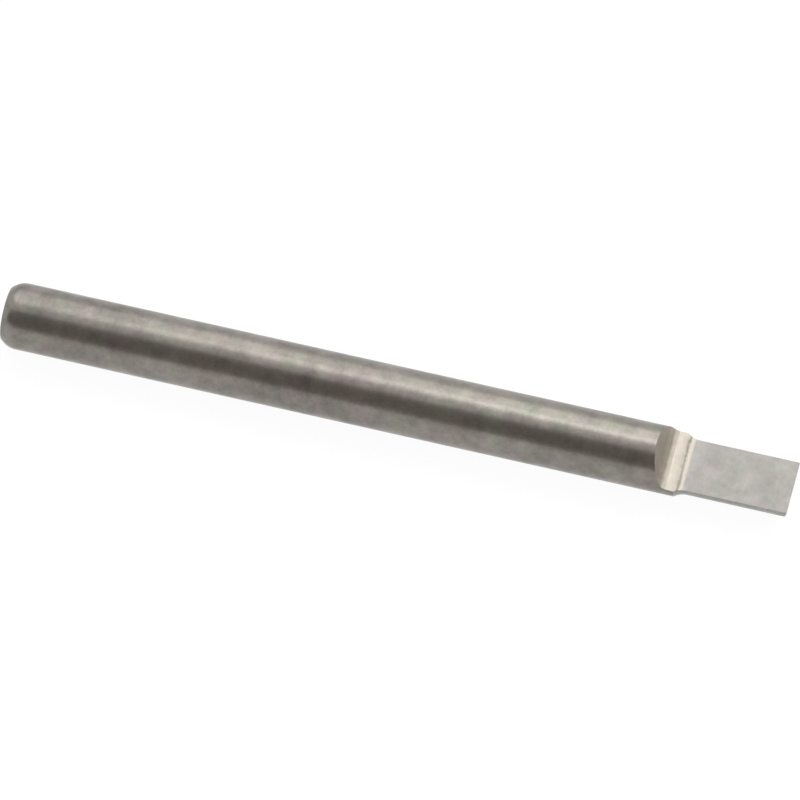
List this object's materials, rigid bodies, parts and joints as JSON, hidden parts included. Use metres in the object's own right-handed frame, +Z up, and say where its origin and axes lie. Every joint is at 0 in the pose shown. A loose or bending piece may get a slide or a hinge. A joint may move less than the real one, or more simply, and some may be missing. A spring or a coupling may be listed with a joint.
{
  "type": "engraving cutter",
  "caption": "One-piece split-end engraving cutter: plain round shank with a chamfered back end, and a tip ground to a half-round with a flat face and a stepped shoulder.",
  "frame": {"origin": "middle of the cutter's length, on the surface that the shank lies on", "axes": "+X along the tool axis to the tip, +Z up out of the split flat, +Y across the flat"},
  "size_m": [0.0382, 0.0032, 0.0032],
  "materials": {
    "ground_carbide": "satin"
  },
  "bodies": {
    "root": {"engraving_cutter": "ground_carbide"}
  },
  "joints": []
}
